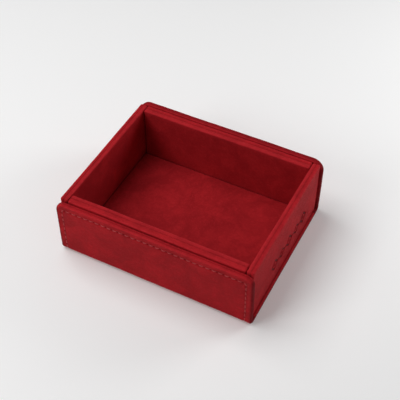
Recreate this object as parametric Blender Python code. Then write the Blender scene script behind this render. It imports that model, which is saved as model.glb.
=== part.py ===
"""Folding dice tray: a shallow leather-covered box whose four walls fold outwards on leather hinges.

A stitched wrap (front cover, base, back cover) carries the tray's inner walls. Covers, walls and floor are
stiff boards in leather skins; the base is leather only. Millimetres in the constants, metres in the model,
+Z up.
The origin is the centre of the footprint on the table.
"""

import math

import bmesh
import bpy
from mathutils import Vector

MM = 0.001

# Overall size
WIDTH = 107.0  # along the covers
DEPTH = 86.0  # over both covers
BACK_HEIGHT = 35.6  # top of the back cover
FRONT_HEIGHT = 34.0  # top of the front cover
RIM_HEIGHT = 35.0  # top of the inner walls and of the side walls

# Wrap: front cover, base and back cover
WRAP_THICKNESS = 2.9  # of a cover
BASE_THICKNESS = 1.8  # two leathers with no board between them
BEND_RADIUS = 3.0  # outside of the leather bend under a cover
BEND_THICKNESS = 1.4
FRONT_SHOULDER = 5.0  # radius of the top corners of the front cover
BACK_SHOULDER = 6.5  # and of the back cover
WRAP_SKIN = 0.75

# Inner panels of the front and back walls, from the cover inwards
WALL_PANEL = 2.4
WALL_LINING = 2.2

# Side walls
SIDE_INSET = 1.3  # outer face, in from the wrap's edge
SIDE_LAYER = 1.85  # each of the two layers
SIDE_HINGE = 0.6  # leather under a side wall

# Floor
FLOOR_PANEL = 2.2

# Shared details
PANEL_SKIN = 0.6
GAP = 0.3  # between pieces that touch
SKIN_GAP = 0.25  # between a board and the skin that it is glued to
SQUARE_CORNER = 0.8  # corner radius of a leather-wrapped square corner
CUT_CORNER = 0.3  # corner radius where a panel ends at a hinge
ROLL = 0.55  # rounded edge of a leather skin
CORNER_STEPS = 5
ROLL_STEPS = 3
BEND_STEPS = 10

# Stitching, one thread along the top and both ends of a cover
STITCH_MARGIN = 3.6
THREAD_WIDTH = 0.5
THREAD_DEPTH = 0.3
STITCH_GROOVE = 0.45  # depth of the line pressed into the leather

# Corner magnets
MAGNET_HEIGHT = 8.4
MAGNET_BOTTOM = 21.0  # above the table
WALL_MAGNET = 1.6  # length along the wall, in the end of a wall board
SIDE_MAGNET = 1.8  # length along the wall, in the end of a side board

# Worked out from the sizes above
HINGE_INSET = BEND_RADIUS - BEND_RADIUS * math.pi / 4
SIDE_FACE = WIDTH / 2 - SIDE_INSET
SIDE_THICKNESS = 2 * SIDE_LAYER + GAP
SIDE_FOOT = BASE_THICKNESS + 2 * GAP + SIDE_HINGE
INNER_FOOT = BASE_THICKNESS + GAP
INNER_HALF_LENGTH = SIDE_FACE - SIDE_THICKNESS - GAP
SIDE_HALF_LENGTH = DEPTH / 2 - WRAP_THICKNESS - GAP
WALL_DEPTH = WRAP_THICKNESS + GAP + WALL_PANEL + GAP + WALL_LINING

LEATHER = ("outer_leather", (0.235, 0.010, 0.013, 1.0), 0.55, 0.0)
LINING = ("lining_leather", (0.180, 0.008, 0.011, 1.0), 0.62, 0.0)
BOARD = ("grey_board", (0.42, 0.39, 0.35, 1.0), 0.85, 0.0)
THREAD = ("stitching_thread", (0.42, 0.03, 0.05, 1.0), 0.6, 0.0)
MAGNET = ("nickel_magnet", (0.55, 0.56, 0.58, 1.0), 0.25, 1.0)


def clear_scene():
    for old in list(bpy.data.objects):
        bpy.data.objects.remove(old)


def make_material(node, finish):
    kind, colour, roughness, metallic = finish
    material = bpy.data.materials.new(f"{node}_{kind}")
    material.use_nodes = True
    shader = material.node_tree.nodes["Principled BSDF"]
    shader.inputs["Base Color"].default_value = colour
    shader.inputs["Roughness"].default_value = roughness
    shader.inputs["Metallic"].default_value = metallic
    material.diffuse_color = colour
    return material


def add_object(name, mesh, finish, parent=None, smooth_angle=35.0):
    """Links a mesh as a named piece with its own material."""
    mesh.materials.append(make_material(name, finish))
    mesh.shade_smooth()
    mesh.set_sharp_from_angle(angle=math.radians(smooth_angle))
    piece = bpy.data.objects.new(name, mesh)
    bpy.context.scene.collection.objects.link(piece)
    piece.parent = parent
    return piece


def add_empty(name, location, turn):
    """A hinge line: local x runs along it, local y points into the tray."""
    empty = bpy.data.objects.new(name, None)
    bpy.context.scene.collection.objects.link(empty)
    empty.location = Vector(location) * MM
    empty.rotation_euler = (0.0, 0.0, math.radians(turn))
    return empty


def rounded_outline(half, low, high, radii, inset=0.0):
    """Points of a panel's outline, (across, up), anticlockwise from its lower right corner.

    radii holds the corner radius at the bottom and at the top.
    """
    points = []
    bottom, top = (max(radius - inset, 0.05) for radius in radii)
    corners = (
        (half - inset - bottom, low + inset + bottom, bottom, -90.0),
        (half - inset - top, high - inset - top, top, 0.0),
        (-half + inset + top, high - inset - top, top, 90.0),
        (-half + inset + bottom, low + inset + bottom, bottom, 180.0),
    )
    for centre_x, centre_z, radius, first in corners:
        for step in range(CORNER_STEPS + 1):
            angle = math.radians(first + 90.0 * step / CORNER_STEPS)
            across = centre_x + radius * math.cos(angle)
            points.append((across, centre_z + radius * math.sin(angle)))
    return points


def loft(loops):
    """A closed mesh through loops of equal length, capped at both ends. Points are in millimetres."""
    bm = bmesh.new()
    rings = [[bm.verts.new(Vector(point) * MM) for point in loop] for loop in loops]
    for ring, following in zip(rings, rings[1:]):
        for index in range(len(ring)):
            after = (index + 1) % len(ring)
            bm.faces.new((ring[index], ring[after], following[after], following[index]))
    bm.faces.new(list(reversed(rings[0])))
    bm.faces.new(rings[-1])
    bmesh.ops.recalc_face_normals(bm, faces=bm.faces)
    mesh = bpy.data.meshes.new("mesh")
    bm.to_mesh(mesh)
    bm.free()
    return mesh


def roll_profile(depth, direction):
    """(inset, depth) pairs of a rounded edge that starts on the face."""
    pairs = []
    for step in range(ROLL_STEPS + 1):
        angle = math.pi / 2 * step / ROLL_STEPS
        pairs.append((ROLL - ROLL * math.sin(angle), depth + direction * ROLL * (1 - math.cos(angle))))
    return pairs


def skin_mesh(half, low, high, radii, face, direction, lip, skin):
    """A leather skin: a shallow pan whose floor is the visible face and whose lip wraps the panel's edge.

    face is the visible face's place on local y, and direction is +1 where the pan opens along +y.
    With a lip no deeper than the skin it is a flat piece of leather.
    """
    profile = roll_profile(face, direction)
    profile.append((0.0, face + direction * lip))
    if lip > skin:
        profile.append((skin, face + direction * lip))
        profile.append((skin, face + direction * skin))
    loops = []
    for inset, depth in profile:
        outline = rounded_outline(half, low, high, radii, inset)
        loops.append([(across, depth, up) for across, up in outline])
    return loft(loops)


def slab_mesh(outline, near, far):
    """An outline of (across, up) points, extruded along local y."""
    return loft([[(across, depth, up) for across, up in outline] for depth in (near, far)])


def board_outline(half, low, high, notch_depth=0.0, notch_low=0.0, notch_high=0.0):
    """A board's rectangle, with a notch for a magnet in each end where notch_depth is set."""
    if not notch_depth:
        return [(half, low), (half, high), (-half, high), (-half, low)]
    right = [
        (half, low),
        (half, notch_low),
        (half - notch_depth, notch_low),
        (half - notch_depth, notch_high),
        (half, notch_high),
        (half, high),
    ]
    return right + [(-across, up) for across, up in reversed(right)]


def stitch_outline(half, low, high, corner, width):
    """The inverted U that the stitching follows, as a band. corner is the cover's top corner radius."""
    shoulder = corner - STITCH_MARGIN
    half_width = width / 2

    def side(offset):
        reach = half - STITCH_MARGIN + offset
        crown = high - STITCH_MARGIN + offset
        radius = max(shoulder + offset, 0.3)
        points = [(reach, low)]
        for step in range(CORNER_STEPS + 1):
            angle = math.pi / 2 * step / CORNER_STEPS
            across = reach - radius + radius * math.cos(angle)
            points.append((across, crown - radius + radius * math.sin(angle)))
        return points + [(-across, up) for across, up in reversed(points)]

    return side(half_width) + list(reversed(side(-half_width)))


def cut(piece, cutter):
    """Takes the cutter's shape out of the piece."""
    cutter.hide_render = True
    cutter.display_type = "WIRE"
    modifier = piece.modifiers.new("groove", "BOOLEAN")
    modifier.operation = "DIFFERENCE"
    modifier.solver = "EXACT"
    modifier.object = cutter


def add_panel(name, hinge, half, low, high, radii, face, direction, thickness, finish):
    """The leather skin of a wall panel, as deep as the panel is thick."""
    mesh = skin_mesh(half, low, high, radii, face, direction, thickness, PANEL_SKIN)
    return add_object(name, mesh, finish, hinge)


def add_board(name, hinge, half, low, high, near, far, notch=None):
    """The stiff board of a panel, clear of the skin around it. notch is (depth, low, high)."""
    outline = board_outline(half, low, high, *(notch or ()))
    return add_object(name, slab_mesh(outline, near, far), BOARD, hinge)


def add_magnet(name, hinge, end, length, low, near, far):
    """A bar magnet in the notch at a board's end. end is the board's end on local x."""
    inner = end - math.copysign(length, end)
    block = [(end, low), (end, low + MAGNET_HEIGHT), (inner, low + MAGNET_HEIGHT), (inner, low)]
    add_object(name, slab_mesh(block, near, far), MAGNET, hinge)


def add_cover(side, hinge, height, shoulder):
    """Front or back cover of the wrap: two leather skins, the board between them, and the stitching."""
    low = BEND_RADIUS + GAP - HINGE_INSET
    high = height - HINGE_INSET
    face = -HINGE_INSET
    half = WIDTH / 2
    radii = (CUT_CORNER, shoulder)
    lip = (WRAP_THICKNESS - GAP) / 2

    mesh = skin_mesh(half, low, high, radii, face, 1.0, lip, WRAP_SKIN)
    leather = add_object(f"{side}_cover_leather", mesh, LEATHER, hinge)
    inner_face = face + WRAP_THICKNESS
    mesh = skin_mesh(half, low, high, radii, inner_face, -1.0, lip, WRAP_SKIN)
    add_object(f"{side}_cover_backing", mesh, LEATHER, hinge)

    margin = WRAP_SKIN + GAP
    outline = rounded_outline(half, low, high, radii, margin)
    near = face + WRAP_SKIN + GAP
    far = inner_face - WRAP_SKIN - GAP
    add_object(f"{side}_cover_board", slab_mesh(outline, near, far), BOARD, hinge)

    outline = stitch_outline(half, low + GAP, high, shoulder, THREAD_WIDTH)
    thread = slab_mesh(outline, face, face + THREAD_DEPTH)
    add_object(f"{side}_stitching", thread, THREAD, hinge)
    outline = stitch_outline(half, low - GAP, high, shoulder, THREAD_WIDTH + 2 * SKIN_GAP)
    groove = slab_mesh(outline, face - GAP, face + STITCH_GROOVE)
    cut(leather, add_object(f"{side}_stitch_line_cutter", groove, THREAD, hinge))


def add_wall_panels(side, hinge):
    """The two panels that stand inside a cover: the wall panel and the lining panel."""
    low = INNER_FOOT - HINGE_INSET
    high = RIM_HEIGHT - HINGE_INSET
    half = INNER_HALF_LENGTH
    radii = (CUT_CORNER, SQUARE_CORNER)
    board_half = half - PANEL_SKIN - SKIN_GAP
    board_low = low + PANEL_SKIN + SKIN_GAP
    board_high = high - PANEL_SKIN - SKIN_GAP
    magnet_low = MAGNET_BOTTOM - HINGE_INSET
    notch = (WALL_MAGNET + GAP, magnet_low - GAP, magnet_low + MAGNET_HEIGHT + GAP)

    face = WRAP_THICKNESS + GAP - HINGE_INSET
    add_panel(f"{side}_wall_leather", hinge, half, low, high, radii, face, 1.0, WALL_PANEL, LEATHER)
    near = face + PANEL_SKIN + SKIN_GAP
    far = face + WALL_PANEL
    add_board(f"{side}_wall_board", hinge, board_half, board_low, board_high, near, far, notch)
    right_end = board_half if side == "front" else -board_half
    for corner, end in (("left", -right_end), ("right", right_end)):
        add_magnet(f"{side}_{corner}_magnet", hinge, end, WALL_MAGNET, magnet_low, near, far)

    lining_face = far + GAP + WALL_LINING
    add_panel(f"{side}_lining", hinge, half, low, high, radii, lining_face, -1.0, WALL_LINING, LINING)
    near = far + GAP
    far = lining_face - PANEL_SKIN - SKIN_GAP
    add_board(f"{side}_lining_board", hinge, board_half, board_low, board_high, near, far)


def add_side_wall(side, hinge):
    """Left or right wall: an outer panel and a lining panel, back to back."""
    low = SIDE_FOOT - INNER_FOOT
    high = RIM_HEIGHT - INNER_FOOT
    half = SIDE_HALF_LENGTH
    radii = (CUT_CORNER, SQUARE_CORNER)
    board_half = half - PANEL_SKIN - SKIN_GAP
    board_low = low + PANEL_SKIN + SKIN_GAP
    board_high = high - PANEL_SKIN - SKIN_GAP

    add_panel(f"{side}_wall_leather", hinge, half, low, high, radii, 0.0, 1.0, SIDE_LAYER, LEATHER)
    near = PANEL_SKIN + SKIN_GAP
    add_board(f"{side}_wall_board", hinge, board_half, board_low, board_high, near, SIDE_LAYER)

    lining_face = SIDE_THICKNESS
    add_panel(f"{side}_lining", hinge, half, low, high, radii, lining_face, -1.0, SIDE_LAYER, LINING)
    near = lining_face - SIDE_LAYER
    far = lining_face - PANEL_SKIN - SKIN_GAP
    magnet_low = MAGNET_BOTTOM - INNER_FOOT
    notch = (SIDE_MAGNET + GAP, magnet_low - GAP, magnet_low + MAGNET_HEIGHT + GAP)
    add_board(f"{side}_lining_board", hinge, board_half, board_low, board_high, near, far, notch)
    back_end = board_half if side == "right" else -board_half
    for corner, end in (("front", -back_end), ("back", back_end)):
        add_magnet(f"{side}_{corner}_magnet", hinge, end, SIDE_MAGNET, magnet_low, near, far)


def add_bend(side, turn):
    """The leather bend between the base and a cover: a quarter tube that stays with the base."""

    def arc(radius):
        angles = [math.pi / 2 * step / BEND_STEPS for step in range(BEND_STEPS + 1)]
        return [(BEND_RADIUS - radius * math.sin(a), BEND_RADIUS - radius * math.cos(a)) for a in angles]

    outline = arc(BEND_RADIUS) + list(reversed(arc(BEND_RADIUS - BEND_THICKNESS)))
    loops = [[(across, inward, up) for inward, up in outline] for across in (-WIDTH / 2, WIDTH / 2)]
    bend = add_object(f"{side}_hinge_leather", loft(loops), LEATHER)
    sign = -1.0 if side == "front" else 1.0
    bend.location = (0.0, sign * DEPTH / 2 * MM, 0.0)
    bend.rotation_euler = (0.0, 0.0, math.radians(turn))


def add_side_hinge(side, sign):
    """The strip of leather under a side wall, glued to the base."""
    half = SIDE_HALF_LENGTH - CUT_CORNER
    outline = [(half, 0.0), (half, SIDE_HINGE), (-half, SIDE_HINGE), (-half, 0.0)]
    width = SIDE_THICKNESS - GAP
    strip = add_object(f"{side}_hinge_leather", slab_mesh(outline, 0.0, width), LEATHER)
    strip.location = (sign * SIDE_FACE * MM, 0.0, INNER_FOOT * MM)
    strip.rotation_euler = (0.0, 0.0, math.radians(90.0 * sign))


def add_base():
    """The base of the wrap and the tray's floor panel, all lying flat: local y points up in the pieces."""
    half_x = WIDTH / 2
    half_y = DEPTH / 2 - BEND_RADIUS - GAP
    leather = (BASE_THICKNESS - GAP) / 2
    radii = (CUT_CORNER, CUT_CORNER)

    def lay_flat(piece, height):
        piece.rotation_euler = (math.radians(90.0), 0.0, 0.0)
        piece.location = (0.0, 0.0, height * MM)

    mesh = skin_mesh(half_x, -half_y, half_y, radii, 0.0, 1.0, leather, leather)
    lay_flat(add_object("base_leather", mesh, LEATHER), 0.0)
    mesh = skin_mesh(half_x, -half_y, half_y, radii, 0.0, -1.0, leather, leather)
    lay_flat(add_object("base_backing", mesh, LEATHER), BASE_THICKNESS)

    half_x = INNER_HALF_LENGTH
    half_y = DEPTH / 2 - WALL_DEPTH - GAP
    top = INNER_FOOT + FLOOR_PANEL
    mesh = skin_mesh(half_x, -half_y, half_y, radii, 0.0, -1.0, FLOOR_PANEL, PANEL_SKIN)
    lay_flat(add_object("floor_lining", mesh, LINING), top)
    inset = PANEL_SKIN + SKIN_GAP
    outline = rounded_outline(half_x, -half_y, half_y, radii, inset)
    mesh = slab_mesh(outline, 0.0, FLOOR_PANEL - inset)
    lay_flat(add_object("floor_board", mesh, BOARD), INNER_FOOT)


def build():
    clear_scene()
    add_base()
    covers = (
        ("front", -1.0, 0.0, FRONT_HEIGHT, FRONT_SHOULDER),
        ("back", 1.0, 180.0, BACK_HEIGHT, BACK_SHOULDER),
    )
    for side, sign, turn, height, shoulder in covers:
        hinge = add_empty(f"{side}_fold", (0.0, sign * (DEPTH / 2 - HINGE_INSET), HINGE_INSET), turn)
        add_bend(side, turn)
        add_cover(side, hinge, height, shoulder)
        add_wall_panels(side, hinge)
    for side, sign in (("left", -1.0), ("right", 1.0)):
        hinge = add_empty(f"{side}_fold", (sign * SIDE_FACE, 0.0, INNER_FOOT), 90.0 * sign)
        add_side_hinge(side, sign)
        add_side_wall(side, hinge)


build()
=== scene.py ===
"""Folding dice tray: the looks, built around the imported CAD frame.

Leather skins, linings and stitches are modelled here in millimetres and placed in the frame in metres.
A panel is modelled flat first, as (across, along, depth), and is then laid along its path: up a wall,
or from the base round a bend and up a wall.
"""

import math
from dataclasses import dataclass

import bmesh
import bpy
import numpy as np
from mathutils import Matrix, Vector, noise


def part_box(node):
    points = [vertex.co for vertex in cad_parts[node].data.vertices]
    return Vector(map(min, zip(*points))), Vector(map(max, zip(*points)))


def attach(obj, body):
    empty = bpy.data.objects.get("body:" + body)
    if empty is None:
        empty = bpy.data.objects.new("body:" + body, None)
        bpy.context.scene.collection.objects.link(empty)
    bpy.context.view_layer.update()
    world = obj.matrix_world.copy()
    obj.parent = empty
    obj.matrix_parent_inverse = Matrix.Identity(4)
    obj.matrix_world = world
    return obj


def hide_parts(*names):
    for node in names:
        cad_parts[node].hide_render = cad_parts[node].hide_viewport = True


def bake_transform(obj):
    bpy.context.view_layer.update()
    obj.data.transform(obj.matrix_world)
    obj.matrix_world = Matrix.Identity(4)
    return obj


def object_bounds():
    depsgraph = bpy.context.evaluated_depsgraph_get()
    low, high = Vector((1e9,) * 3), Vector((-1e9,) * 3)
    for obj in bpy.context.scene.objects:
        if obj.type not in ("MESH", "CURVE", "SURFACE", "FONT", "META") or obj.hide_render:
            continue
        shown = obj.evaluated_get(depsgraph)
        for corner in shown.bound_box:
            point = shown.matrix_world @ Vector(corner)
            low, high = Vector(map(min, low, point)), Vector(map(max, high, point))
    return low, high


MM = 0.001

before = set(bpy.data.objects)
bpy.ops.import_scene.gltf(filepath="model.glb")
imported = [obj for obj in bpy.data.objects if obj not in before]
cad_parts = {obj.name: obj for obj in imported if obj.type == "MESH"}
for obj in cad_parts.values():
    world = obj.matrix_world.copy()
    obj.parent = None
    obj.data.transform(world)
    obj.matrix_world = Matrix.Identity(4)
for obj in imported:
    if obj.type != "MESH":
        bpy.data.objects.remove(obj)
cad_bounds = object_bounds()


# ---------------------------------------------------------------- sizes, all in millimetres

def node_box(*nodes):
    """Lowest and highest corner of some CAD nodes together."""
    boxes = [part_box(node) for node in nodes]
    low = Vector([min(box[0][axis] for box in boxes) for axis in range(3)]) / MM
    high = Vector([max(box[1][axis] for box in boxes) for axis in range(3)]) / MM
    return low, high


HALF_WIDTH = (cad_bounds[1] / MM).x
HALF_DEPTH = (cad_bounds[1] / MM).y
COVER_LOW, COVER_HIGH = node_box("front_cover_leather", "front_cover_backing")
WRAP_THICKNESS = COVER_HIGH.y - COVER_LOW.y
BASE_THICKNESS = node_box("base_backing")[1].z
BEND_RADIUS = node_box("front_hinge_leather")[1].z
SHOULDERS = {"front": 5.0, "back": 6.5}  # radius of each cover's top corners

WRAP_SKIN = 0.75  # leather of the wrap
PANEL_SKIN = 0.6  # leather of the wall panels
SQUARE_CORNER = 0.9  # corner radius of a leather-wrapped square corner
FOOT_CORNER = 0.4  # corner radius at a wall panel's foot
ALMOST_SHARP = 1e-4  # corner radius where the base meets a cover's tail
SEAM_GAP = 0.06  # between the two leathers at the wrap's edge
WRAP_LIP = (WRAP_THICKNESS - SEAM_GAP) / 2
BASE_LIP = (BASE_THICKNESS - SEAM_GAP) / 2
BASE_TAIL = 2.0  # how far a cover's leather runs on under the base
SWELL = 0.12  # how far a soft lip stands into the gap next to it

STITCH_MARGIN = 3.6  # from a cover's edge to its stitch line
STITCH_PITCH = 3.33
STITCH_VALLEY = 0.16  # how deep the stitch line is pressed
VALLEY_WIDTH = 0.75
HOLE_RADIUS = 0.38
HOLE_DEPTH = 0.3
# painted shade in each stitch hole's pit
HOLE_SHADE = 0.8

GRID_STEP = 2.4  # between a skin's grid lines, away from its edges
CORNER_STEP = 0.6  # between the grid lines through a rounded corner
ROLL_STEPS = 5  # from a rolled edge's rim to its face
CLOSEST_INSETS = 0.07  # of two edge lines closer than this, only one is kept
CLOSEST_LINES = 0.06  # of any two grid lines closer than this, only one is kept
OPEN_LIP = 0.1  # how far a lip's inner edge is rounded off


def smooth(value, low, high):
    """0 below low, 1 above high, and a smooth step between."""
    share = np.clip((value - low) / (high - low), 0.0, 1.0)
    return share * share * (3.0 - 2.0 * share)


# ---------------------------------------------------------------- flat panels

@dataclass
class Outline:
    """A panel seen flat: half its width, its ends and its corner radii. A cut low end isn't rolled.

    radius is above zero, and so is low_radius unless the low end is cut.
    """

    half: float
    low: float
    high: float
    radius: float
    low_radius: float = 0.0
    cut: bool = False


def grid_lines(low, high, insets_low, insets_high):
    """Positions from one edge of a panel to the other: close together near both, and wider between."""
    values = [low + inset for inset in insets_low] + [high - inset for inset in insets_high]
    inner_low = low + (insets_low[-1] if insets_low else 0.0)
    inner_high = high - (insets_high[-1] if insets_high else 0.0)
    count = max(1, round((inner_high - inner_low) / GRID_STEP))
    values += [inner_low + (inner_high - inner_low) * index / count for index in range(count + 1)]
    return spaced(values, low, high)


def spaced(values, low, high):
    """The values in order from low to high, without near doubles."""
    merged = [low]
    for value in sorted(values):
        if min(value - merged[-1], high - value) > CLOSEST_LINES:
            merged.append(value)
    return np.array(merged + [high])


def edge_insets(roll, radius, extra=()):
    """Distances from an edge at which a rolled edge, a rounded corner and extra lines need a grid line."""
    insets = [roll * (1.0 - math.cos(math.pi / 2 * step / ROLL_STEPS)) for step in range(ROLL_STEPS + 1)]
    count = max(2, round(radius / CORNER_STEP))
    insets += [radius * step / count for step in range(1, count + 1)]
    insets += list(extra)
    kept = []
    for inset in sorted(insets):
        if not kept or inset - kept[-1] > CLOSEST_INSETS:
            kept.append(inset)
    return kept


def draw_in(value, edge, radius, shrink):
    """Shortens the last stretch before an edge, as long as radius, so that the edge moves in by shrink."""
    start = edge - radius
    return np.where(value > start, start + (value - start) * (radius - shrink) / radius, value)


def round_corner(x, z, middle_x, middle_z):
    """Bends the square beyond a corner's middle into a quarter disc."""
    u, v = x - middle_x, z - middle_z
    both = (u > 0) & (v > 0)
    reach = np.maximum(u, v)
    length = np.maximum(np.hypot(u, v), 1e-9)
    bent_x, bent_z = middle_x + u * reach / length, middle_z + v * reach / length
    return np.where(both, bent_x, x), np.where(both, bent_z, z)


def place(outline, across, along, shrink=0.0):
    """Rounds a grid's corners, with the whole outline drawn in by shrink. Gives across, along and inset."""
    half, high, radius = outline.half, outline.high, outline.radius
    x = draw_in(np.abs(across), half, radius, shrink)
    z = draw_in(np.array(along, float), high, radius, shrink)
    inset = np.minimum(half - shrink - x, high - shrink - z)
    x, z = round_corner(x, z, half - radius, high - radius)
    if not outline.cut:
        low, radius = outline.low, outline.low_radius
        down = draw_in(-z, -low, radius, shrink)
        inset = np.minimum(inset, -down - low - shrink)
        x, down = round_corner(x, down, half - radius, -low - radius)
        z = -down
    return x * np.sign(across), z, np.maximum(inset, 0.0)


def rolled_depth(inset, roll):
    """How far a rolled edge falls back from the face."""
    share = np.clip(1.0 - inset / roll, 0.0, 1.0)
    return roll * (1.0 - np.sqrt(1.0 - share * share))


# Darkening at the edges: partly edge paint, partly painted shade on the sides and in the seam's gap.
NO_PAINT_OR_SHADE = (0.0, 0.0)
# how many rolls in from the sides the edge paint and painted shade run
PAINT_AND_SHADE_REACH = 1.7
HIGHLIGHT_MIDDLE, HIGHLIGHT_WIDTH = 0.4, 0.45  # the painted highlight band along a rolled edge, as shares of the roll


@dataclass
class Skin:
    """A leather skin as a thin closed shell: where its points are, flat, and what they carry."""

    across: list
    along: list
    depth: list
    painted_highlight: list
    edge: list
    stamp_and_hole_shade: list
    faces: list


def skin_shell(
    outline, roll, lip, thickness, extra=(), relief=None, lines=None, paint_and_shade=NO_PAINT_OR_SHADE, reach=PAINT_AND_SHADE_REACH
):
    """A skin with a rolled edge, a lip that wraps the panel's edge, and the hollow for the board behind it.

    extra adds grid lines along the edges, as insets, and lines adds straight ones, as (across, along).
    relief(across, along, inset) gives the face's own (depth, stamp_and_hole_shade): darker where pressed,
    with painted shade in stitch holes.
    paint_and_shade is how dark the edge paint and painted shade are on the sides and on the ends. On the
    sides it runs reach rolls in.
    """
    insets = edge_insets(roll, outline.radius, extra)
    xs = grid_lines(-outline.half, outline.half, insets, insets)
    low_insets = [] if outline.cut else edge_insets(roll, outline.low_radius, extra)
    zs = grid_lines(outline.low, outline.high, low_insets, insets)
    if lines is not None:
        xs = spaced([*xs, *lines[0]], -outline.half, outline.half)
        zs = spaced([*zs, *lines[1]], outline.low, outline.high)
    grid_x, grid_z = np.meshgrid(xs, zs)
    rows, columns = grid_x.shape
    skin = Skin([], [], [], [], [], [], [])
    stores = (skin.across, skin.along, skin.depth, skin.painted_highlight, skin.edge, skin.stamp_and_hole_shade)

    def paint_and_shade_at(across, inset):
        """How dark the edge paint and painted shade are at a point."""
        sides = paint_and_shade[0] * (1.0 - smooth(outline.half - np.abs(across), 0.25 * reach * roll, reach * roll))
        ends = paint_and_shade[1] * (1.0 - smooth(inset, 0.1 * roll, 0.45 * roll))
        return np.maximum(sides, ends)

    def add(*values):
        """Adds points: across, along, depth, painted highlight, edge paint and painted shade, and stamp
        with painted hole shade.
        """
        first = len(skin.across)
        size = np.size(values[0])
        for store, value in zip(stores, values):
            store.extend(np.broadcast_to(value, (size,)) if np.ndim(value) == 0 else np.ravel(value))
        return first + np.arange(size)

    across, along, inset = place(outline, grid_x, grid_z)
    depth = rolled_depth(inset, roll)
    stamp_and_hole_shade = np.zeros_like(depth)
    if relief is not None:
        extra_depth, stamp_and_hole_shade = relief(across, along, inset)
        depth = depth + extra_depth
    edge = paint_and_shade_at(across, inset)
    # painted highlight along the rolled edge, kept off the darkened edge
    painted_highlight = np.exp(-(((inset / roll - HIGHLIGHT_MIDDLE) / HIGHLIGHT_WIDTH) ** 2)) * (1.0 - edge)
    face = add(across, along, depth, painted_highlight, edge, stamp_and_hole_shade).reshape(rows, columns)
    back_across, back_along, _ = place(outline, grid_x, grid_z, thickness)
    back = add(back_across, back_along, thickness, 0.0, 1.0, 0.0).reshape(rows, columns)

    for row in range(rows - 1):
        for column in range(columns - 1):
            corners = ((row, column), (row, column + 1), (row + 1, column + 1), (row + 1, column))
            skin.faces.append(tuple(face[corner] for corner in corners))
            skin.faces.append(tuple(back[corners[turn]] for turn in (0, 3, 2, 1)))

    around = [(row, 0) for row in range(rows)]
    around += [(rows - 1, column) for column in range(1, columns)]
    around += [(row, columns - 1) for row in range(rows - 2, -1, -1)]
    if not outline.cut:
        around += [(0, column) for column in range(columns - 2, 0, -1)]
    edge_x = np.array([xs[column] for _, column in around])
    edge_z = np.array([zs[row] for row, _ in around])
    stages = (  # from the roll round the lip: drawn in by, depth, painted highlight, and darkness of edge paint with painted shade that deepens into the seam's gap
        (0.0, roll + 0.15 * (lip - roll), 0.3, 0.0),
        (0.0, lip - 0.75 * OPEN_LIP, 0.1, 0.0),
        (0.3 * OPEN_LIP, lip - 0.3 * OPEN_LIP, 0.0, 0.2),
        (OPEN_LIP, lip, 0.0, 0.6),
        (thickness, lip, 0.0, 1.0),
    )
    rings = [[face[row, column] for row, column in around]]
    for shrink, at_depth, highlit, dark in stages:
        ring_x, ring_z, _ = place(outline, edge_x, edge_z, shrink)
        edge = paint_and_shade_at(ring_x, 0.0)
        rings.append(list(add(ring_x, ring_z, at_depth, highlit * (1.0 - edge), np.maximum(dark, edge), 0.0)))
    rings.append([back[row, column] for row, column in around])
    count = len(around)
    last = count - 1 if outline.cut else count
    for ring, following in zip(rings, rings[1:]):
        for index in range(last):
            after = (index + 1) % count
            skin.faces.append((ring[index], ring[after], following[after], following[index]))
    if outline.cut:
        end = [face[0, column] for column in range(columns)]
        end += [ring[-1] for ring in rings[1:-1]]
        end += [back[0, column] for column in range(columns - 1, -1, -1)]
        end += [ring[0] for ring in reversed(rings[1:-1])]
        skin.faces.append(tuple(end))
    return skin


# ---------------------------------------------------------------- paths and placing

def wall_path(across, along, depth):
    """Straight up a wall: depth goes inwards."""
    return across, depth, along


def bend_path(radius, foot):
    """From a level stretch at height foot, round a bend of the given outside radius and up a wall."""

    def follow(across, along, depth):
        start = foot + radius
        angle = np.clip((start - along) / radius, 0.0, math.pi / 2)
        beyond = np.maximum(start - radius * math.pi / 2 - along, 0.0)
        inward = radius - (radius - depth) * np.cos(angle) + beyond
        up = start - (radius - depth) * np.sin(angle) + np.maximum(along - start, 0.0)
        return across, inward, up

    return follow


BROAD_WAVES, BROAD_SHIFT = 0.045, 0.16  # waves per millimetre, and how far they move a point
FINE_WAVES, FINE_SHIFT = 0.21, 0.045
FINE_START = Vector((7.3, 1.9, 4.1))  # so that the fine waves don't follow the broad ones
ON_THE_TABLE = 0.02  # points lower than this keep their height
FIELD_SEED = 11  # the field of noise.noise_vector is otherwise seeded by the clock
noise.seed_set(FIELD_SEED)


def wobble(points):
    """The slight unevenness of hand-laid leather: one field, so that neighbours move together."""
    moved = np.empty_like(points)
    for index, point in enumerate(points):
        at = Vector(point)
        broad = noise.noise_vector(at * BROAD_WAVES)
        fine = noise.noise_vector(at * FINE_WAVES + FINE_START)
        moved[index] = at + broad * BROAD_SHIFT + fine * FINE_SHIFT
    moved[:, 2] = np.where(points[:, 2] < ON_THE_TABLE, points[:, 2], np.maximum(moved[:, 2], 0.0))
    return moved


SHARP_ANGLE = math.radians(50.0)


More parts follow.
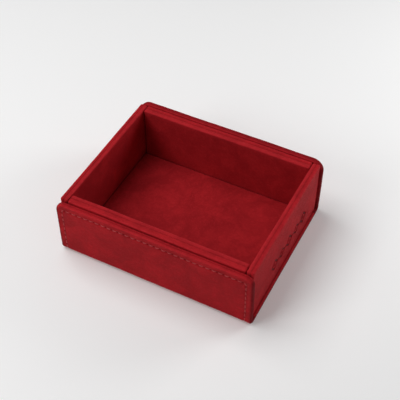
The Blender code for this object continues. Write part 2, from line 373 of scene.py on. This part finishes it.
def make_piece(name, placement, points, faces, attributes):
    """A closed, smooth-shaded piece from points in millimetres. Its points carry their rest places."""
    matrix = np.array(placement)
    world = wobble(np.asarray(points, float) @ matrix[:3, :3].T + matrix[:3, 3])
    bm = bmesh.new()
    verts = [bm.verts.new(Vector(point) * MM) for point in world]
    for corners in faces:
        bm.faces.new([verts[corner] for corner in corners])
    bmesh.ops.recalc_face_normals(bm, faces=bm.faces)
    mesh = bpy.data.meshes.new(name)
    bm.to_mesh(mesh)
    bm.free()
    rest = mesh.attributes.new("rest", "FLOAT_VECTOR", "POINT")
    rest.data.foreach_set("vector", world.astype(np.float32).ravel())
    for title, values in attributes.items():
        attribute = mesh.attributes.new(title, "FLOAT", "POINT")
        attribute.data.foreach_set("value", np.asarray(values, np.float32))
    mesh.shade_smooth()
    mesh.set_sharp_from_angle(angle=SHARP_ANGLE)
    piece = bpy.data.objects.new(name, mesh)
    bpy.context.scene.collection.objects.link(piece)
    return piece


def lay_skin(name, placement, skin, path, squeeze=None):
    """Lays a flat skin along its path and makes the piece."""
    across, along, depth = (np.array(values, float) for values in (skin.across, skin.along, skin.depth))
    if squeeze is not None:
        depth = squeeze(along, depth)
    points = np.stack(path(across, along, depth), axis=-1)
    marks = {"painted_highlight": skin.painted_highlight, "edge": skin.edge, "stamp_and_hole_shade": skin.stamp_and_hole_shade}
    return make_piece(name, placement, points, skin.faces, marks)


def wall_placement(side):
    """A wall's own axes: x along it, y inwards from its outer face, z up."""
    turn, place_at = {
        "front": (0.0, (0.0, -HALF_DEPTH, 0.0)),
        "back": (180.0, (0.0, HALF_DEPTH, 0.0)),
        "right": (90.0, (node_box("right_wall_leather")[1].x, 0.0, 0.0)),
        "left": (-90.0, (node_box("left_wall_leather")[0].x, 0.0, 0.0)),
    }[side]
    return Matrix.Translation(Vector(place_at)) @ Matrix.Rotation(math.radians(turn), 4, "Z")


# ---------------------------------------------------------------- materials

class Nodes:
    """A small helper for building one material's node tree."""

    def __init__(self, name):
        self.material = bpy.data.materials.new(name)
        self.material.use_nodes = True
        self.tree = self.material.node_tree
        self.shader = self.tree.nodes["Principled BSDF"]

    def add(self, kind, inputs=None, **settings):
        """A new node with its settings, and its inputs linked or set."""
        node = self.tree.nodes.new(kind)
        for title, value in settings.items():
            setattr(node, title, value)
        for title, value in (inputs or {}).items():
            self.feed(node.inputs[title], value)
        return node

    def feed(self, socket, value):
        """Links another node's output to a socket, or sets the socket to a number or colour."""
        if isinstance(value, bpy.types.NodeSocket):
            self.tree.links.new(value, socket)
        else:
            socket.default_value = value

    def attribute(self, name, output="Fac"):
        """One of the values that a piece's points carry."""
        return self.add("ShaderNodeAttribute", attribute_name=name).outputs[output]

    def noise(self, vector, scale, detail=2.0, roughness=0.5, distortion=0.0):
        """Noise from 0 to 1."""
        values = {
            "Vector": vector,
            "Scale": scale,
            "Detail": detail,
            "Roughness": roughness,
            "Distortion": distortion,
        }
        return self.add("ShaderNodeTexNoise", values).outputs["Fac"]

    def math(self, operation, first, second, clamp=False):
        """Two values added, subtracted or multiplied."""
        node = self.add("ShaderNodeMath", operation=operation, use_clamp=clamp)
        self.feed(node.inputs[0], first)
        self.feed(node.inputs[1], second)
        return node.outputs[0]

    def remap(self, value, low, high, to_low=0.0, to_high=1.0):
        """A value's range from low to high, moved to another range and kept inside it."""
        values = {"Value": value, "From Min": low, "From Max": high, "To Min": to_low, "To Max": to_high}
        return self.add("ShaderNodeMapRange", values).outputs["Result"]

    def mix(self, share, first, second):
        """A colour between two others. Of the node's many sockets, 6, 7 and 2 are the ones for colours."""
        node = self.add("ShaderNodeMix", data_type="RGBA")
        self.feed(node.inputs["Factor"], share)
        self.feed(node.inputs[6], first)
        self.feed(node.inputs[7], second)
        return node.outputs[2]

    def bump(self, height, distance):
        """The normals of an uneven surface, where a height of 1 stands for distance, in metres."""
        values = {"Height": height, "Distance": distance, "Strength": 1.0}
        return self.add("ShaderNodeBump", values).outputs["Normal"]


def colour(red, green, blue):
    """A colour given as the eye sees it, 0 to 255, in the shader's linear numbers."""

    def linear(value):
        share = value / 255.0
        return share / 12.92 if share <= 0.04045 else ((share + 0.055) / 1.055) ** 2.4

    return (linear(red), linear(green), linear(blue), 1.0)


def leather_material(name, base, dark, light, highlight_colour, edge_paint_and_shade, roughness, grain):
    """Fine nubuck leather: cloudy colour, short nap, painted highlight on the rolls, edges darkened by edge
    paint and painted shade, pebble grain.
    """
    made = Nodes(name)
    place_mm = made.attribute("rest", "Vector")  # so the scales of the noises are waves per millimetre
    clouds = made.noise(place_mm, 0.075, 5.0, 0.62, 0.8)
    blotches = made.noise(place_mm, 0.42, 3.0, 0.55)
    flecks = made.noise(place_mm, 0.85, 3.0, 0.7)
    nap = made.noise(place_mm, 5.5, 3.0, 0.65)
    shade = made.mix(made.remap(clouds, 0.4, 0.62), dark, base)
    shade = made.mix(made.remap(blotches, 0.5, 0.78, 0.0, 0.45), shade, dark)
    shade = made.mix(made.remap(flecks, 0.5, 0.7, 0.0, 0.5), shade, dark)
    shade = made.mix(made.remap(flecks, 0.48, 0.28, 0.0, 0.5), shade, light)
    shade = made.mix(made.remap(nap, 0.3, 0.75, 0.0, 0.35), shade, light)
    # painted highlight along the rolled edges
    painted_highlight = made.math("MULTIPLY", made.attribute("painted_highlight"), made.remap(blotches, 0.3, 0.7, 0.3, 0.9), True)
    shade = made.mix(painted_highlight, shade, highlight_colour)
    # darkening at the edges: partly edge paint, partly painted shade
    edge = made.math("MULTIPLY", made.attribute("edge"), made.remap(blotches, 0.3, 0.7, 0.95, 0.75), True)
    shade = made.mix(edge, shade, edge_paint_and_shade)
    # darker where pressed, with painted shade in the stitch holes
    stamp_and_hole_shade = made.attribute("stamp_and_hole_shade")
    pressed = tuple(0.25 * part for part in dark[:3]) + (1.0,)
    shade = made.mix(made.math("MULTIPLY", stamp_and_hole_shade, 0.95), shade, pressed)
    made.feed(made.shader.inputs["Base Color"], shade)

    rough = made.remap(nap, 0.25, 0.75, roughness - 0.06, roughness + 0.08)
    rough = made.math("SUBTRACT", rough, made.math("MULTIPLY", painted_highlight, 0.1))
    rough = made.math("SUBTRACT", rough, made.math("MULTIPLY", stamp_and_hole_shade, 0.12), True)
    made.feed(made.shader.inputs["Roughness"], rough)

    pebble = made.add(
        "ShaderNodeTexVoronoi",
        {"Vector": place_mm, "Scale": 2.1, "Randomness": 1.0},
        feature="DISTANCE_TO_EDGE",
    ).outputs["Distance"]
    crease = made.remap(pebble, 0.0, 0.14)
    height = made.math("ADD", made.math("MULTIPLY", crease, 0.45), made.math("MULTIPLY", nap, 0.75))
    height = made.math("ADD", height, made.math("MULTIPLY", blotches, 1.4))
    made.feed(made.shader.inputs["Normal"], made.bump(height, grain * MM))
    made.shader.inputs["Specular IOR Level"].default_value = 0.08
    made.shader.inputs["Specular Tint"].default_value = colour(255, 150, 150)
    made.shader.inputs["Sheen Weight"].default_value = 0.02
    made.shader.inputs["Sheen Roughness"].default_value = 0.5
    made.shader.inputs["Sheen Tint"].default_value = colour(255, 120, 120)
    return made.material


def thread_material():
    """Waxed two-ply thread, a little lighter than the leather."""
    made = Nodes("waxed_thread")
    place_mm = made.attribute("rest", "Vector")
    twist = made.add(
        "ShaderNodeTexWave",
        {"Vector": place_mm, "Scale": 1.3, "Distortion": 1.2, "Detail": 1.0},
        bands_direction="DIAGONAL",
    ).outputs["Fac"]
    fibres = made.noise(place_mm, 9.0, 2.0)
    shade = made.mix(made.remap(twist, 0.2, 0.8), colour(156, 42, 46), colour(206, 78, 80))
    shade = made.mix(made.remap(fibres, 0.35, 0.7, 0.0, 0.4), shade, colour(218, 98, 98))
    made.feed(made.shader.inputs["Base Color"], shade)
    made.feed(made.shader.inputs["Roughness"], made.remap(fibres, 0.3, 0.7, 0.42, 0.62))
    made.feed(made.shader.inputs["Normal"], made.bump(made.math("ADD", twist, fibres), 0.08 * MM))
    made.shader.inputs["Specular IOR Level"].default_value = 0.2
    return made.material


def board_material():
    """Raw grey bookbinder's board with its fibres and layers."""
    made = Nodes("grey_board")
    place_m = made.add("ShaderNodeTexCoord").outputs["Object"]
    flakes = made.noise(place_m, 900.0, 4.0, 0.6)
    specks = made.noise(place_m, 4200.0, 2.0)
    shade = made.mix(made.remap(flakes, 0.35, 0.65), colour(150, 143, 132), colour(188, 182, 171))
    shade = made.mix(made.remap(specks, 0.62, 0.72, 0.0, 0.6), shade, colour(104, 96, 86))
    made.feed(made.shader.inputs["Base Color"], shade)
    made.feed(made.shader.inputs["Roughness"], made.remap(flakes, 0.3, 0.7, 0.82, 0.95))
    made.feed(made.shader.inputs["Normal"], made.bump(flakes, 0.1 * MM))
    return made.material


def magnet_material():
    """Nickel plate with fine scuffs."""
    made = Nodes("nickel_plate")
    place_m = made.add("ShaderNodeTexCoord").outputs["Object"]
    scuffs = made.noise(place_m, 2600.0, 3.0, 0.6, 1.5)
    shade = made.mix(made.remap(scuffs, 0.3, 0.7), colour(170, 172, 175), colour(206, 207, 208))
    made.feed(made.shader.inputs["Base Color"], shade)
    made.feed(made.shader.inputs["Roughness"], made.remap(scuffs, 0.3, 0.7, 0.2, 0.38))
    made.feed(made.shader.inputs["Normal"], made.bump(scuffs, 0.03 * MM))
    made.shader.inputs["Metallic"].default_value = 1.0
    return made.material


DEEP_RED = colour(172, 27, 34)
SHADED_RED = colour(142, 20, 26)
NAP_RED = colour(192, 40, 47)
# colour of the painted highlight on the rolled edges
HIGHLIGHT_RED = colour(200, 44, 52)
# colour of the edge paint together with painted shade on the sides and in the gaps
EDGE_PAINT_AND_SHADE_RED = colour(98, 11, 18)
OUTER = leather_material(
    "outer_leather", DEEP_RED, SHADED_RED, NAP_RED, HIGHLIGHT_RED, EDGE_PAINT_AND_SHADE_RED, 0.68, 0.10
)
LINING = leather_material(
    "lining_leather",
    colour(172, 32, 38),
    colour(146, 24, 30),
    colour(186, 42, 48),
    HIGHLIGHT_RED,
    EDGE_PAINT_AND_SHADE_RED,
    0.74,
    0.08,
)
THREAD = thread_material()
BOARD = board_material()
NICKEL = magnet_material()


def finish_piece(piece, material, slot, *nodes):
    """Gives a piece its material and hides the CAD nodes that it stands for."""
    piece.data.materials.append(material)
    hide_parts(*nodes)


# ---------------------------------------------------------------- the wrap: base and covers

BEND_LOW = BEND_RADIUS - BEND_RADIUS * math.pi / 2  # where the bend starts, along a cover's flat
LIP_THINS = (BEND_RADIUS - 0.4, BEND_RADIUS + 1.0)  # the stretch over which a cover's lip gets its depth


def lip_share(along):
    """How much of a lip's depth is left: all of it round the board, little in the bend and the base."""
    thin = (BASE_LIP - WRAP_SKIN) / (WRAP_LIP - WRAP_SKIN)
    return thin + (1.0 - thin) * smooth(along, *LIP_THINS)


def squeeze_outer(along, depth):
    """The outer leather's lip is shallow in the bend and the base."""
    return np.where(depth > WRAP_SKIN, WRAP_SKIN + (depth - WRAP_SKIN) * lip_share(along), depth)


def squeeze_inner(along, depth):
    """The inner leather comes close to the outer one in the bend. Its depth counts from the inner face."""
    thickness = WRAP_THICKNESS - 2.0 * (WRAP_LIP - WRAP_SKIN) * (1.0 - lip_share(along))
    return thickness - squeeze_outer(along, depth)


def squeeze_base(along, depth):
    """The base's lips are as shallow as the covers' are where they meet it."""
    return squeeze_outer(np.full_like(along, -BASE_TAIL), depth)


ROUTE_POINTS = (80, 12, 60)  # along half of a stitch line: its top, its corner and its side


def stitch_route(outline):
    """A cover's stitch line: points (across, along) from one low end to the other, and their distances."""
    reach = outline.half - STITCH_MARGIN
    crown = outline.high - STITCH_MARGIN
    radius = outline.radius - STITCH_MARGIN
    out = np.linspace(0.0, reach - radius, ROUTE_POINTS[0])
    turn = np.linspace(0.0, math.pi / 2, ROUTE_POINTS[1])
    down = np.linspace(crown - radius, BEND_LOW, ROUTE_POINTS[2])
    stretches = (
        (out, np.full_like(out, crown)),
        (reach - radius * (1.0 - np.sin(turn)), crown - radius * (1.0 - np.cos(turn))),
        (np.full_like(down, reach), down),
    )
    right = np.concatenate([np.stack(stretch, axis=1) for stretch in stretches])
    left = right[:0:-1] * (-1.0, 1.0)
    route = np.concatenate([left, right])
    distances = np.concatenate([[0.0], np.cumsum(np.hypot(*np.diff(route, axis=0).T))])
    return route, distances


def stitch_holes(outline):
    """Where the thread goes through: one hole between each stitch and the next."""
    route, distances = stitch_route(outline)
    count = round(distances[-1] / STITCH_PITCH)
    marks = np.linspace(0.0, distances[-1], count + 1)
    return np.stack([np.interp(marks, distances, route[:, axis]) for axis in (0, 1)], axis=1)


def stitch_relief(holes):
    """The stitch line pulls the leather into a shallow valley, with a small pit at each hole and painted
    shade in the pit.
    """

    def relief(across, along, inset):
        valley = np.exp(-(((inset - STITCH_MARGIN) / VALLEY_WIDTH) ** 2))
        away = np.full(inset.shape, 1e9)
        for hole in holes:
            away = np.minimum(away, np.hypot(across - hole[0], along - hole[1]))
        pit = np.exp(-((away / HOLE_RADIUS) ** 2))
        return STITCH_VALLEY * valley + HOLE_DEPTH * pit, HOLE_SHADE * pit

    return relief


STITCH_LINES = [STITCH_MARGIN + offset for offset in (-1.5, -0.9, -0.45, 0.0, 0.45, 0.9, 1.5)]
BEND_LINES = 27
BESIDE_HOLE = 0.3  # from a hole's middle to the grid lines on both sides of it
WRAP_ROLL = 1.0
PAINT_AND_SHADE_SIDES = 0.85  # how dark the wrap's edge paint and painted shade are on its sides
# edge paint and painted shade on each cover's top edge, lighter than on its sides
PAINT_AND_SHADE_TOPS = {"front": 0.12, "back": 0.5}
PAINT_AND_SHADE_ENDS = 0.5  # how dark the base's edge paint and painted shade are at its ends
# the base's edge paint and painted shade run only a short way in from its sides
BASE_PAINT_AND_SHADE_REACH = 0.35


def cover_outline(side):
    """A cover in its flat: from its cut end under the base to its rounded shoulders."""
    high = node_box(f"{side}_cover_leather")[1].z
    return Outline(HALF_WIDTH, BEND_LOW - BASE_TAIL, high, SHOULDERS[side], cut=True)


def bend_lines():
    """Extra grid lines through the bend, so that it is round and can unfold."""
    return np.linspace(BEND_LOW - 1.0, BEND_RADIUS + 1.0, BEND_LINES)


def blend_over_bend(piece):
    """Bakes the piece's placement into its points. Its path has already laid the leather along the base up
    to the bend, and the wall after it.
    """
    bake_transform(piece)


def make_cover(side):
    """A cover's outer leather with its stitch line, and its inner leather."""
    outline = cover_outline(side)
    placement = wall_placement(side)
    path = bend_path(BEND_RADIUS, 0.0)
    holes = stitch_holes(outline)
    near_holes = np.concatenate([holes - BESIDE_HOLE, holes, holes + BESIDE_HOLE])
    lines = (near_holes[:, 0], [*near_holes[:, 1], *bend_lines()])
    paint_and_shade = (PAINT_AND_SHADE_SIDES, PAINT_AND_SHADE_TOPS[side])
    skin = skin_shell(
        outline,
        WRAP_ROLL,
        WRAP_LIP,
        WRAP_SKIN,
        extra=STITCH_LINES,
        relief=stitch_relief(holes),
        lines=lines,
        paint_and_shade=paint_and_shade,
    )
    outer = lay_skin(f"{side}_cover_skin", placement, skin, path, squeeze_outer)
    finish_piece(outer, OUTER, "outer_leather", f"{side}_cover_leather", f"{side}_hinge_leather")
    blend_over_bend(outer)
    skin = skin_shell(outline, WRAP_ROLL, WRAP_LIP, WRAP_SKIN, lines=([0.0], bend_lines()), paint_and_shade=paint_and_shade)
    inner = lay_skin(f"{side}_cover_inner_skin", placement, skin, path, squeeze_inner)
    finish_piece(inner, OUTER, "outer_leather", f"{side}_cover_backing")
    blend_over_bend(inner)


def make_base():
    """The wrap's base, between the two covers' tails."""
    half_length = HALF_DEPTH - BEND_RADIUS - BASE_TAIL
    outline = Outline(HALF_WIDTH, -half_length, half_length, ALMOST_SHARP, cut=True)
    for name, node, sign, height in (
        ("base_skin", "base_leather", 1.0, 0.0),
        ("base_inner_skin", "base_backing", -1.0, BASE_THICKNESS),
    ):
        paint_and_shade = (PAINT_AND_SHADE_SIDES, PAINT_AND_SHADE_ENDS)
        skin = skin_shell(outline, WRAP_ROLL, WRAP_LIP, WRAP_SKIN, paint_and_shade=paint_and_shade, reach=BASE_PAINT_AND_SHADE_REACH)
        flat = Matrix(((1, 0, 0, 0), (0, 0, 1, 0), (0, sign, 0, height), (0, 0, 0, 1)))
        piece = lay_skin(name, flat, skin, wall_path, squeeze_base)
        finish_piece(piece, OUTER, "outer_leather", node)
        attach(piece, "base")


# ---------------------------------------------------------------- stitches

STITCH_LENGTH = 2.45
STITCH_WIDTH = 0.56
STITCH_RINGS = 9
STITCH_SIDES = 8
LEAN, LEAN_CHANGE = 0.09, 0.04  # how far a stitch's ends lie beside the line, and how that differs
TAPER = 0.35  # how much narrower the ends are
THREAD_RISE = 0.12  # from the bottom of the pressed line to the thread's middle
THREAD_HALF = 0.2  # half the thread's height
DIVE = 0.5  # how far the ends go down
AHEAD = 0.2  # how far each way the line's direction is taken


def make_stitches(side):
    """Every stitch of a cover: a short length of thread that dives into the leather at both ends."""
    route, lengths = stitch_route(cover_outline(side))
    count = round(lengths[-1] / STITCH_PITCH)
    pitch = lengths[-1] / count
    follow = bend_path(BEND_RADIUS, 0.0)

    def on_route(distance):
        """The point at a distance along the stitch line."""
        return np.array([np.interp(distance, lengths, route[:, axis]) for axis in (0, 1)])

    points, faces = [], []
    for index in range(count):
        middle = (index + 0.5) * pitch
        lean = LEAN + LEAN_CHANGE * math.sin(2.3 * index)
        first = len(points)
        for ring in range(STITCH_RINGS):
            share = ring / (STITCH_RINGS - 1) * 2.0 - 1.0
            at = middle + share * STITCH_LENGTH / 2
            step_along = on_route(at + AHEAD) - on_route(at - AHEAD)
            along = step_along / np.linalg.norm(step_along)
            aside = np.array([-along[1], along[0]])
            centre = on_route(at) + aside * lean * share
            width = STITCH_WIDTH / 2 * (1.0 - TAPER * share**4)
            sunk = STITCH_VALLEY - THREAD_RISE + DIVE * abs(share) ** 3.2
            for step in range(STITCH_SIDES):
                angle = 2.0 * math.pi * step / STITCH_SIDES
                flat = centre + aside * width * math.cos(angle)
                points.append([*flat, sunk - THREAD_HALF * math.sin(angle)])
        for ring in range(STITCH_RINGS - 1):
            here = first + ring * STITCH_SIDES
            there = here + STITCH_SIDES
            for step in range(STITCH_SIDES):
                after = (step + 1) % STITCH_SIDES
                faces.append((here + step, here + after, there + after, there + step))
        last = first + (STITCH_RINGS - 1) * STITCH_SIDES
        faces.append(tuple(range(first, first + STITCH_SIDES)))
        faces.append(tuple(range(last, last + STITCH_SIDES)))
    points = np.array(points)
    laid = np.stack(follow(points[:, 0], points[:, 1], points[:, 2]), axis=-1)
    piece = make_piece(f"{side}_stitches", wall_placement(side), laid, faces, {})
    finish_piece(piece, THREAD, "stitching_thread", f"{side}_stitching")
    blend_over_bend(piece)


# ---------------------------------------------------------------- inner walls, side walls and floor

PANEL_ROLL = 0.85


def make_wall_panels(side):
    """The wall panel, which looks at the cover, and the lining panel, which looks into the tray."""
    placement = wall_placement(side)
    for node, name, material, slot, direction in (
        (f"{side}_wall_leather", f"{side}_wall_skin", OUTER, "outer_leather", 1.0),
        (f"{side}_lining", f"{side}_lining_skin", LINING, "lining_leather", -1.0),
    ):
        low, high = node_box(node)
        outline = Outline(high.x, low.z, high.z, SQUARE_CORNER, FOOT_CORNER)
        near, far = HALF_DEPTH + low.y, HALF_DEPTH + high.y
        if side == "back":
            near, far = HALF_DEPTH - high.y, HALF_DEPTH - low.y
        face = near - SWELL if direction > 0 else far
        lip = far + SWELL - face if direction > 0 else face - near + SWELL
        skin = skin_shell(outline, PANEL_ROLL, lip, PANEL_SKIN)

        def path(across, along, depth, face=face, direction=direction):
            return across, face + direction * depth, along

        piece = lay_skin(name, placement, skin, path)
        finish_piece(piece, material, slot, node)
        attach(piece, f"{side}_wall")


ORNAMENT_HEIGHT = 14.0
ORNAMENT_MIDDLE = 3.5  # towards the back
ORNAMENT_REACH = 22.5, 4.8  # how far the fine grid under it goes each way, across and along
ORNAMENT_GRID = 0.28
ORNAMENT_PITCH = 8.8
ORNAMENT_LINE = 0.85
LINE_EDGE = 0.22  # how wide the slope beside a pressed line is
LOZENGE_HALF = 3.2  # half a lozenge's width
LOZENGE_TALLS = (3.5, 2.7)  # half a lozenge's height, in turn
LOZENGE_SIZE = 2.3  # from a lozenge's middle to its sloping line, about
LOZENGE_DOT = (0.2, 0.36)  # where the dot's slope starts and ends, as shares of the lozenge
BETWEEN_DOT = (0.4, 0.7)  # the same for a dot between two lozenges, in millimetres
PRESSED_DEPTH = 0.3


def ornament_relief(across, along, inset):
    """A pressed row of five lozenges with a dot in each and a dot between each and the next."""
    pressed = np.zeros_like(across)
    beside = across - ORNAMENT_MIDDLE
    up = along - ORNAMENT_HEIGHT
    for index in range(-2, 3):
        middle = ORNAMENT_PITCH * index
        away = np.abs(beside - middle) / LOZENGE_HALF + np.abs(up) / LOZENGE_TALLS[index % 2]
        from_line = np.abs((away - 1.0) * LOZENGE_SIZE)
        line = 1.0 - smooth(from_line, 0.5 * ORNAMENT_LINE, 0.5 * ORNAMENT_LINE + LINE_EDGE)
        pressed = np.maximum(pressed, line)
        pressed = np.maximum(pressed, 1.0 - smooth(away, *LOZENGE_DOT))
    for index in range(-2, 2):
        middle = ORNAMENT_PITCH * (index + 0.5)
        pressed = np.maximum(pressed, 1.0 - smooth(np.hypot(beside - middle, up), *BETWEEN_DOT))
    return PRESSED_DEPTH * pressed, pressed


SIDE_TAIL = 2.4  # how far a side wall's leather runs on over the base
HINGE_LINES = 15
HINGE_LIP = 0.05  # the share of a side wall's lip depth that is left in its hinge
TURN_IN_SHORT = 0.75  # how much shorter than the wall the turn-in is, at each end
TURN_IN_THICKNESS = 0.5
TURN_IN_ROUNDING = 0.12
TURN_IN_SIDES = 16
TURN_IN_STATIONS = 34
TURN_IN_DARKNESS = 0.3


def make_side_wall(side):
    """A side wall's outer leather, which runs on into its hinge, its lining panel and its turn-in."""
    placement = wall_placement(side)
    low, high = node_box(f"{side}_wall_leather")
    strip_low = node_box(f"{side}_hinge_leather")[0]
    radius = low.z - strip_low.z
    bend_low = low.z - radius * math.pi / 2
    outline = Outline(high.y, bend_low - SIDE_TAIL, high.z, SQUARE_CORNER, cut=True)
    hinge_lines = np.linspace(bend_low - 0.2, low.z + 0.6, HINGE_LINES)
    lines = ([0.0], hinge_lines)
    relief = None
    if side == "right":
        fine_x, fine_z = (np.arange(-reach, reach, ORNAMENT_GRID) for reach in ORNAMENT_REACH)
        lines = (ORNAMENT_MIDDLE + fine_x, [*hinge_lines, *(ORNAMENT_HEIGHT + fine_z)])
        relief = ornament_relief
    skin = skin_shell(outline, PANEL_ROLL, high.x - low.x + SWELL, PANEL_SKIN, relief=relief, lines=lines)

    def squeeze(along, depth):
        """The lip has next to no depth in the hinge, and all of it round the board."""
        left = HINGE_LIP + (1.0 - HINGE_LIP) * smooth(along, low.z - 0.1, low.z + 0.9)
        return np.where(depth > PANEL_SKIN, PANEL_SKIN + (depth - PANEL_SKIN) * left, depth)

    piece = lay_skin(f"{side}_wall_skin", placement, skin, bend_path(radius, strip_low.z), squeeze)
    finish_piece(piece, OUTER, "outer_leather", f"{side}_wall_leather", f"{side}_hinge_leather")
    face = high.x if side == "right" else low.x
    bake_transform(piece)

    lining_low, lining_high = node_box(f"{side}_lining")
    outline = Outline(lining_high.y, lining_low.z, lining_high.z, SQUARE_CORNER, FOOT_CORNER)
    inner_face = abs(face) - (lining_low.x if side == "right" else -lining_high.x)
    lip = lining_high.x - lining_low.x + SWELL
    skin = skin_shell(outline, PANEL_ROLL, lip, PANEL_SKIN)

    def path(across, along, depth):
        """Up the wall, with depth outwards from its inner face."""
        return across, inner_face - depth, along

    piece = lay_skin(f"{side}_lining_skin", placement, skin, path)
    finish_piece(piece, LINING, "lining_leather", f"{side}_lining")
    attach(piece, f"{side}_wall")
    depths = (PANEL_SKIN + SEAM_GAP, inner_face - lip - SEAM_GAP)
    make_turn_in(side, lining_high.y - TURN_IN_SHORT, depths, lining_low.z)


def make_turn_in(side, half, depths, foot):
    """The wall leather turned in under the board's end, which would show when the wall is folded out."""
    middle = (depths[1] + depths[0]) / 2
    reach = (depths[1] - depths[0]) / 2 - TURN_IN_ROUNDING
    up = TURN_IN_THICKNESS / 2
    section = []
    for step in range(TURN_IN_SIDES):
        angle = 2.0 * math.pi * (step + 0.5) / TURN_IN_SIDES
        level, rise = math.cos(angle), math.sin(angle)
        depth = middle + math.copysign(reach, level) + TURN_IN_ROUNDING * level
        height = foot + up + math.copysign(up - TURN_IN_ROUNDING, rise) + TURN_IN_ROUNDING * rise
        section.append((depth, height))
    stations = np.linspace(-half, half, TURN_IN_STATIONS)
    points = [(across, depth, height) for across in stations for depth, height in section]
    ends = range(len(points))
    faces = [tuple(ends[:TURN_IN_SIDES]), tuple(reversed(ends[-TURN_IN_SIDES:]))]
    for ring in range(TURN_IN_STATIONS - 1):
        for step in range(TURN_IN_SIDES):
            here = ring * TURN_IN_SIDES + step
            after = ring * TURN_IN_SIDES + (step + 1) % TURN_IN_SIDES
            faces.append((here, after, after + TURN_IN_SIDES, here + TURN_IN_SIDES))
    none = np.zeros(len(points))
    marks = {"painted_highlight": none, "edge": none + TURN_IN_DARKNESS, "stamp_and_hole_shade": none}
    piece = make_piece(f"{side}_turn_in", wall_placement(side), points, faces, marks)
    finish_piece(piece, OUTER, "outer_leather", f"{side}_wall_leather")
    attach(piece, f"{side}_wall")


def make_floor():
    """The tray floor's lining over its board."""
    low, high = node_box("floor_lining")
    outline = Outline(high.x, low.y, high.y, SQUARE_CORNER, SQUARE_CORNER)
    skin = skin_shell(outline, PANEL_ROLL, high.z - low.z, PANEL_SKIN)
    flat = Matrix(((1, 0, 0, 0), (0, 0, 1, 0), (0, -1, 0, high.z), (0, 0, 0, 1)))
    piece = lay_skin("floor_skin", flat, skin, wall_path)
    finish_piece(piece, LINING, "lining_leather", "floor_lining")
    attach(piece, "base")


def dress_cad_nodes():
    """The boards and magnets keep their CAD shapes and get their own materials."""
    for name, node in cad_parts.items():
        if name.endswith("board"):
            material = BOARD
        elif name.endswith("magnet"):
            material = NICKEL
        else:
            continue
        for index in range(len(node.material_slots)):
            node.material_slots[index].material = material


# ---------------------------------------------------------------- floor, light and camera

CAMERA_AZIMUTH = 27.24
CAMERA_ELEVATION = 46.74
CAMERA_DISTANCE = 0.4619
CAMERA_LENS = 79.12
CAMERA_AIM = (-0.0016, 0.0111, 0.0100)
STAGE_HALF = 6.0
STAGE_HEIGHT = -0.0001


def make_stage():
    """A pale floor that runs out of sight."""
    bm = bmesh.new()
    bmesh.ops.create_grid(bm, x_segments=8, y_segments=8, size=STAGE_HALF)
    mesh = bpy.data.meshes.new("studio_floor")
    bm.to_mesh(mesh)
    bm.free()
    floor = bpy.data.objects.new("studio_floor", mesh)
    floor.location = (0.0, 0.0, STAGE_HEIGHT)
    bpy.context.scene.collection.objects.link(floor)
    made = Nodes("studio_white")
    made.shader.inputs["Base Color"].default_value = (0.93, 0.93, 0.93, 1.0)
    made.shader.inputs["Roughness"].default_value = 0.9
    made.shader.inputs["Specular IOR Level"].default_value = 0.1
    made.shader.inputs["Emission Color"].default_value = (1.0, 1.0, 1.0, 1.0)
    made.shader.inputs["Emission Strength"].default_value = 0.07
    mesh.materials.append(made.material)


def add_area_light(name, location, aim, size, power):
    """A square light of the given width that points at aim."""
    light = bpy.data.lights.new(name, "AREA")
    light.shape = "SQUARE"
    light.size = size
    light.energy = power
    lamp = bpy.data.objects.new(name, light)
    lamp.location = location
    lamp.rotation_mode = "QUATERNION"
    lamp.rotation_quaternion = (Vector(aim) - Vector(location)).to_track_quat("-Z", "Y")
    bpy.context.scene.collection.objects.link(lamp)


def make_light():
    """Soft studio light: one high at the left, a key at the right and behind, a fill at the front left."""
    centre = (0.0, 0.0, 0.02)
    add_area_light("overhead", (-0.32, 0.0, 0.62), centre, 0.5, 2.5)
    add_area_light("key", (0.27, 0.28, 0.17), centre, 0.18, 0.56)
    add_area_light("fill", (-0.26, -0.42, 0.36), centre, 0.25, 0.85)
    world = bpy.data.worlds.new("studio_world")
    world.use_nodes = True
    background = world.node_tree.nodes["Background"]
    background.inputs["Color"].default_value = (1.0, 1.0, 1.0, 1.0)
    background.inputs["Strength"].default_value = 0.19
    bpy.context.scene.world = world
    bpy.context.scene.view_settings.view_transform = "Standard"


def make_camera():
    """The camera, where the photograph was taken from."""
    azimuth, elevation = math.radians(CAMERA_AZIMUTH), math.radians(CAMERA_ELEVATION)
    level = math.cos(elevation)
    away = Vector((math.sin(azimuth) * level, -math.cos(azimuth) * level, math.sin(elevation)))
    camera = bpy.data.objects.new("camera", bpy.data.cameras.new("camera"))
    camera.data.lens = CAMERA_LENS
    camera.data.clip_start = 0.01
    camera.location = Vector(CAMERA_AIM) + away * CAMERA_DISTANCE
    camera.rotation_mode = "QUATERNION"
    camera.rotation_quaternion = (-away).to_track_quat("-Z", "Y")
    bpy.context.scene.collection.objects.link(camera)
    bpy.context.scene.camera = camera


make_camera()
make_stage()
make_light()
make_base()
make_floor()
for wall in ("front", "back"):
    make_cover(wall)
    make_stitches(wall)
    make_wall_panels(wall)
for wall in ("left", "right"):
    make_side_wall(wall)
dress_cad_nodes()
